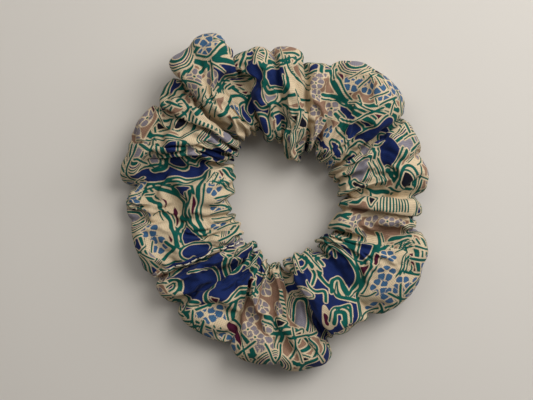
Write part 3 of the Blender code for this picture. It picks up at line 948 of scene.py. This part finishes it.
def printed_cotton():
    n = Nodes("printed cotton")
    a, b, c = n.parts("print_a"), n.parts("print_b"), n.parts("print_c")
    d, own = n.parts("print_d"), n.parts("print_own")
    cloth = n.add("ShaderNodeUVMap", uv_map="cloth").outputs[0]
    grain = n.add("ShaderNodeTexNoise", {"Vector": cloth, "Scale": 170.0, "Detail": 3.0}).outputs[0]
    worn = n.add("ShaderNodeTexNoise", {"Vector": cloth, "Scale": 22.0, "Detail": 4.0}).outputs[0]

    colour = n.mix(worn, CREAM, tuple(0.9 * part for part in CREAM))
    for value, paint_colour in zip((a[0], a[1], a[2], b[0], b[1], d[2]), (TAN, COBALT, GREY, NAVY, PLUM, TEAL)):
        colour = n.mix(n.below(value), colour, paint_colour)

    bands = n.add("ShaderNodeValToRGB", {0: own[2]})
    ramp = bands.color_ramp
    ramp.interpolation = "CONSTANT"
    stops = (0, 0.34, 0.40, 0.56, 0.63, 0.69, 0.75, 0.81, 0.87, 0.94)
    arch_bands = (GREY, CREAM, TEAL, CREAM, COBALT, CREAM, TEAL, CREAM, TEAL, CREAM)
    while len(ramp.elements) < len(stops):
        ramp.elements.new(1.0)
    for element, place, band in zip(ramp.elements, stops, arch_bands):
        element.position, element.color = place, band
    colour = n.mix(n.below(c[2]), colour, bands.outputs[0])

    stripe = n.math("ABSOLUTE", n.math("SUBTRACT", n.math("FRACT", own[2]), 0.5))
    hatched = n.mix(n.below(stripe, 0.27, 0.05), CREAM, TEAL)
    colour = n.mix(n.below(d[0]), colour, hatched)

    # five petals round each flower's middle
    far = n.math("SQRT", n.math("ADD", n.math("POWER", own[0], 2.0), n.math("POWER", own[1], 2.0)))
    turn = n.math("MULTIPLY", n.math("ARCTAN2", own[1], own[0]), 5 / math.tau)
    off = n.math("MULTIPLY", n.math("SUBTRACT", n.math("FRACT", n.math("ADD", turn, 5.0)), 0.5), math.tau / 5)
    gap = n.math("MULTIPLY", far, n.math("SINE", n.math("SUBTRACT", math.pi / 5, n.math("ABSOLUTE", off))))
    curve = n.math("MULTIPLY", n.math("POWER", n.math("ABSOLUTE", off), 2.0), 0.75)
    rim = n.math("SUBTRACT", n.math("SUBTRACT", 1.0, curve), far)
    petal = n.math("MINIMUM", n.math("SUBTRACT", gap, 0.075), n.math("MINIMUM", rim, n.math("SUBTRACT", far, 0.27)))
    petal = n.below(n.math("MULTIPLY", petal, -1.0), 0.0, 0.03)
    for value, petal_colour, eye in ((c[0], BLUE, CREAM), (c[1], MAUVE, TEAL)):
        flower = n.mix(petal, CREAM, petal_colour)
        flower = n.mix(n.below(far, 0.13, 0.03), flower, eye)
        colour = n.mix(n.below(value), colour, flower)

    drawn = n.math("MULTIPLY", n.below(n.math("ABSOLUTE", d[1]), 1.0, 0.15), n.below(b[2], LINE_REACH, 0.1))
    colour = n.mix(drawn, colour, TEAL)

    # Painted shade: the weave's thread-by-thread light and dark, with a fine random grain mixed in, scales the
    # print's colour from 0.72 to 1.1; the bump below adds the same weave as relief.
    warp, weft = (n.wave(cloth, 50.0, 1.2, way, Detail=1.0) for way in "XY")
    weave = n.math("ADD", n.math("MAXIMUM", warp, weft), n.math("MULTIPLY", grain, 0.8))
    shade = n.add("ShaderNodeMapRange", {0: weave, 1: 0.7, 2: 1.6, 3: 0.72, 4: 1.1}).outputs[0]
    colour = n.add("ShaderNodeVectorMath", {0: colour, "Scale": shade}, operation="SCALE").outputs[0]

    bump = n.add("ShaderNodeBump", {"Height": weave, "Strength": 0.35, "Distance": 0.0001})
    rough = n.add("ShaderNodeMapRange", {0: worn, 3: 0.78, 4: 0.9}).outputs[0]
    n.shader.inputs["Sheen Weight"].default_value = 0.04
    n.shader.inputs["Sheen Roughness"].default_value = 0.5
    n.shader.inputs["Specular IOR Level"].default_value = 0.15
    return n.finish(Base_Color=colour, Roughness=rough, Normal=bump.outputs[0])


cover_look = printed_cotton()

# ---- pieces --------------------------------------------------------------------------------------

BODIES = list(frame["bodies"])
PIECES = len(CENTRES) - 1
JOIN_BODY = 8  # the body that holds the elastic's join
LEAST_BLEND = 1.5  # the shortest span in mm that join works out for a piece going from one body to the next


def unit(v):
    return v / np.linalg.norm(v)


def clockwise(k):
    """Across the upright plane through the ring's centre and body k's, pointing on round the ring."""
    outward = unit(CENTRES[k] - RING)
    return np.array((outward[1], -outward[0]))


def piece_of(middles):
    """Which piece each point belongs to: piece k lies between the planes of bodies k and k + 1."""
    angle = np.degrees(np.arctan2(*(middles[:, :2] - RING).T[::-1]))
    around = [(SEAM_ANGLE - math.degrees(math.atan2(*(p - RING)[::-1]))) % 360 for p in CENTRES[1:-1]]
    return np.searchsorted(np.array(around), (SEAM_ANGLE - angle) % 360)


def join(piece, k, low, high):
    """Works out the span over which a piece would go from body k to body k + 1, with low kept wholly with the first
    and high with the second, and bakes the piece's place into its mesh. The blend itself isn't set up.
    """
    a, b = CENTRES[k], CENTRES[k + 1]
    way = unit(b - a)
    first, last = ((low - a) @ way).max() + 0.1, ((high - a) @ way).min() - 0.1
    if last - first < LEAST_BLEND:
        first, last = ((first + last) / 2 + part * LEAST_BLEND / 2 for part in (-1, 1))
    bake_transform(piece)


points = tube.reshape(-1, 3)
point_normals = surface_normals(tube).reshape(-1, 3)
faces = grid_faces(rows, columns)
owner = piece_of(points[faces].mean(2).reshape(-1, 3)).reshape(faces.shape[:2])
# both ends of the tube lie at the seam, so its first rows are the first piece's, and its last rows the last's
early = np.arange(rows - 1)[:, None] < rows / 2
owner = np.where(early & (owner >= PIECES - 3), 0, owner)
owner = np.where(~early & (owner < 3), PIECES - 1, owner)
users = np.zeros((PIECES + 2, len(points)), bool)
for k in range(PIECES):
    users[k, faces[owner == k]] = True
users[PIECES, np.repeat(seam_rows, columns)] = True
users[-1] = users[PIECES]  # before piece 0 and after the last one comes the seam

u = np.arange(rows) * ALONG
v = np.arange(columns + 1) * ROUND
corner_u = np.stack([u[:-1], u[1:], u[1:], u[:-1]], -1)[:, None, :] * np.ones((1, columns, 1))
corner_v = np.stack([v[:-1], v[:-1], v[1:], v[1:]], -1)[None] * np.ones((rows - 1, 1, 1))
corner_uv = np.stack([corner_u, corner_v], -1) / 100  # 1 is 100 mm of cloth

for k in range(PIECES):
    mine = owner == k
    name = f"cover_{k + 1:02d}"
    used, corner = np.unique(faces[mine], return_inverse=True)
    data = mesh_from(name, points[used] * MM, corner.reshape(-1, 4), corner_uv[mine])
    data.normals_split_custom_set_from_vertices(point_normals[used])
    data.materials.append(cover_look)
    attribute_pack(data, used)
    piece = link(name, data)
    join(piece, k, points[users[k] & users[k - 1]][:, :2], points[users[k] & users[k + 1]][:, :2])
    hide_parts(*[f"cover_gather_{k + 2:02d}"] + (["cover_gather_01"] if k == 0 else []))
    flat_length = mine.sum() * ALONG * ROUND / TUBE_ROUND
    flat = (TUBE_ROUND * MM, flat_length * MM)

# ---- the elastic and the threads ------------------------------------------------------------------


def elastic_look():
    n = Nodes("knitted elastic")
    place = n.add("ShaderNodeTexCoord").outputs["Object"]
    ribs = n.wave(place, 180.0, 0.6, "Z")
    fuzz = n.add("ShaderNodeTexNoise", {"Vector": place, "Scale": 2200.0, "Detail": 3.0}).outputs[0]
    shade = n.math("ADD", n.math("MULTIPLY", ribs, 0.6), n.math("MULTIPLY", fuzz, 0.4))
    colour = n.mix(shade, srgb(196, 192, 184), srgb(232, 229, 222))
    bump = n.add("ShaderNodeBump", {"Height": shade, "Strength": 0.6, "Distance": 0.0002})
    return n.finish(Base_Color=colour, Roughness=0.8, Normal=bump.outputs[0])


def thread_look():
    n = Nodes("sewing thread")
    place = n.add("ShaderNodeTexCoord").outputs["Object"]
    twist = n.wave(place, 900.0, 1.0, "DIAGONAL")
    colour = n.mix(twist, srgb(196, 184, 158), srgb(236, 226, 202))
    bump = n.add("ShaderNodeBump", {"Height": twist, "Strength": 0.5, "Distance": 0.0001})
    return n.finish(Base_Color=colour, Roughness=0.55, Normal=bump.outputs[0])


ELASTIC_LOOK, THREAD_LOOK = elastic_look(), thread_look()
ROOM = 1.7  # how deep in mm the elastic should lie inside the cloth
DROP, INWARD = 2.6, 2.5  # how far down it starts, and the most that it moves towards the ring's centre
TURNS, SMOOTH_TURNS, PUSH = 14, 11, 0.4
PROBES = ((1, 2.6), (-1, 2.6), (1, -2.6), (-1, -2.6), (0, 2.6), (0, -2.6))  # round the band's section, in mm
TUCK, FINEST = 0.7, 1.3  # how deep every point has to be at least, and the length of the mesh's edges
cloth_surface = BVHTree.FromPolygons((points * MM).tolist(), faces.reshape(-1, 4).tolist())


def cad_points(data):
    """(points in mm, angle about the ring in degrees, radius) of a mesh."""
    found = np.array([v.co for v in data.vertices]) / MM
    flat = found[:, :2] - RING
    return found, np.degrees(np.arctan2(flat[:, 1], flat[:, 0])) % 360, np.hypot(*flat.T)


def elastic_shift():
    """How far out and up the elastic moves to lie inside the gathered cloth: (angles, shifts)."""
    found, angle, radius = cad_points(bpy.data.objects["elastic_band"].data)
    order = np.argsort(angle)
    spots = np.arange(0, 360, 2.0)
    smooth = np.convolve(np.pad(radius[order], 4, "wrap"), np.ones(9) / 9, "valid")
    middle = np.interp(spots, angle[order], smooth)
    height = (found[:, 2].min() + found[:, 2].max()) / 2
    shifts = np.tile((0.0, -DROP), (len(spots), 1))
    for turn_number in range(TURNS):
        for index, (turned, base) in enumerate(zip(np.radians(spots), middle)):
            outward = np.array((math.cos(turned), math.sin(turned)))
            for r, z in PROBES:
                at = RING + outward * (base + shifts[index, 0] + r)
                spot_3d = Vector((*at * MM, (height + shifts[index, 1] + z) * MM))
                near, normal, _, _ = cloth_surface.find_nearest(spot_3d)
                depth = -(spot_3d - near).dot(normal) / MM
                if depth < ROOM:
                    push = -np.array(normal) * (ROOM - depth) * PUSH
                    shifts[index] += (push[:2] @ outward, push[2])
        shifts[:, 0] = np.maximum(shifts[:, 0], -INWARD)
        if turn_number < SMOOTH_TURNS:
            shifts = (np.roll(shifts, 1, 0) + 3 * shifts + np.roll(shifts, -1, 0)) / 5
    return spots, shifts


SHIFT_AT, SHIFTS = elastic_shift()


def tucked(place):
    """A point in m, moved to just under the cloth where the cloth pinches in past it."""
    place = Vector(place)
    for _ in range(4):
        near, normal, _, _ = cloth_surface.find_nearest(place)
        if -(place - near).dot(normal) < TUCK * MM:
            place = near - normal * TUCK * 1.3 * MM
    return place


def moved_inside(node):
    """A copy of a CAD node's mesh, moved with the elastic into the cloth."""
    data = bpy.data.objects[node].data.copy()
    bm = bmesh.new()
    bm.from_mesh(data)
    for _ in range(2):
        wide = [edge for edge in bm.edges if edge.calc_length() > FINEST * MM]
        bmesh.ops.subdivide_edges(bm, edges=wide, cuts=1, use_grid_fill=True)
    bmesh.ops.triangulate(bm, faces=bm.faces[:])
    bm.to_mesh(data)
    bm.free()
    found, angle, radius = cad_points(data)
    shift = [np.interp(angle, SHIFT_AT, SHIFTS[:, i], period=360) for i in range(2)]
    found[:, :2] += (found[:, :2] - RING) * (shift[0] / radius)[:, None]
    found[:, 2] += shift[1]
    for vertex, place in zip(data.vertices, found * MM):
        vertex.co = tucked(place)
    return data


def with_look(data, look):
    """The same mesh, with this as its only material."""
    data.materials.clear()
    data.materials.append(look)
    return data


def between(data, k, name):
    """The part of a mesh that lies between the planes of bodies k and k + 1."""
    bm = bmesh.new()
    bm.from_mesh(data)
    for index in (k, k + 1):
        bmesh.ops.bisect_plane(
            bm,
            geom=bm.verts[:] + bm.edges[:] + bm.faces[:],
            plane_co=(*RING * MM, 0),
            plane_no=(*clockwise(index), 0),
            clear_inner=index == k,
            clear_outer=index != k,
        )
    bmesh.ops.remove_doubles(bm, verts=bm.verts[:], dist=1e-6)
    cut = bpy.data.meshes.new(name)
    bm.to_mesh(cut)
    bm.free()
    return cut


for node, label, look, slot in (
    ("elastic_band", "elastic", ELASTIC_LOOK, "elastic"),
    ("tube_seam_thread", "tube_seam", THREAD_LOOK, "thread"),
):
    whole = moved_inside(node)
    for k in range(PIECES):
        name = f"{label}_{k + 1:02d}"
        data = with_look(between(whole, k, name), look)
        piece = link(name, data)
        flat = np.array([v.co for v in data.vertices])[:, :2] / MM
        ends = [flat[abs((flat - RING) @ clockwise(index)) < 0.05] for index in (k, k + 1)]
        join(piece, k, *ends)
        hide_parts(node)

STITCH, STITCH_GAP, THREAD_WIDE = 2.1, 0.8, 0.46
STITCH_RISE, STITCH_SUNK = 0.28, 0.2  # of a stitch's middle, and of its ends


def top_stitches():
    """One curve with a short spline for each stitch that shows along the folded edge."""
    path, lifts = (np.concatenate([held, held[:1]]) for held in (stitch_line, stitch_normals))
    along = np.append(0, np.cumsum(np.linalg.norm(np.diff(path, axis=0), axis=1)))
    curve = bpy.data.curves.new("closing_stitches", "CURVE")
    curve.dimensions = "3D"
    curve.bevel_depth = THREAD_WIDE / 2 * MM
    curve.bevel_resolution = 2
    curve.use_fill_caps = True
    count = int(along[-1] // (STITCH + STITCH_GAP))
    for number in range(count):
        start = number * along[-1] / count
        share = np.linspace(0, 1, 7)
        at = start + share * STITCH
        place, lift = (np.stack([np.interp(at, along, part) for part in held.T], -1) for held in (path, lifts))
        place += lift * (STITCH_RISE * np.sin(share * math.pi) - STITCH_SUNK)[:, None]
        spline = curve.splines.new("POLY")
        spline.points.add(len(place) - 1)
        for dot, spot_3d in zip(spline.points, place):
            dot.co = (*spot_3d * MM, 1)
    curve.materials.append(THREAD_LOOK)
    return link("closing_stitches", curve)


stitches = top_stitches()
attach(stitches, BODIES[0])
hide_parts("closing_seam_thread")

join_thread = link("elastic_join", with_look(moved_inside("elastic_join_thread"), THREAD_LOOK))
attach(join_thread, BODIES[JOIN_BODY])
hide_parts("elastic_join_thread")

# ---- floor, lights, camera -----------------------------------------------------------------------

scene = bpy.context.scene
floor = link("floor", level_square("floor", 1))
floor.data.materials.append(Nodes("floor").finish(Base_Color=(0.62, 0.585, 0.535, 1), Roughness=0.9))

world = bpy.data.worlds.new("room")
world.use_nodes = True
background = world.node_tree.nodes["Background"].inputs
background["Color"].default_value = (1.0, 0.98, 0.96, 1)
background["Strength"].default_value = 0.13
scene.world = world


def area_light(name, place, size, power, colour):
    """A square lamp that points at the ring's centre."""
    lamp = bpy.data.lights.new(name, "AREA")
    lamp.size, lamp.energy, lamp.color = size, power, colour
    obj = link(name, lamp)
    obj.location = place
    obj.rotation_euler = (-Vector(place)).to_track_quat("-Z", "Y").to_euler()


area_light("window", (-0.30, 0.45, 0.75), 0.7, 2.3, (1.0, 0.98, 0.95))
area_light("side", (0.36, 0.26, 0.34), 0.45, 2.0, (0.99, 0.99, 1.0))
area_light("above", (0.30, 0.30, 0.55), 0.4, 1.95, (1.0, 0.99, 0.97))

CAMERA_HEIGHT, PICTURE_WIDTH, MID_HEIGHT, SENSOR = 0.42, 0.1919, 0.01, 36.0  # the width is at the ring's mid height
lens = bpy.data.cameras.new("camera")
camera = link("camera", lens)
lens.sensor_width, lens.lens = SENSOR, SENSOR * (CAMERA_HEIGHT - MID_HEIGHT) / PICTURE_WIDTH
camera.location = (-0.0034, -0.0004, CAMERA_HEIGHT)
scene.camera = camera
scene.view_settings.view_transform = "Standard"
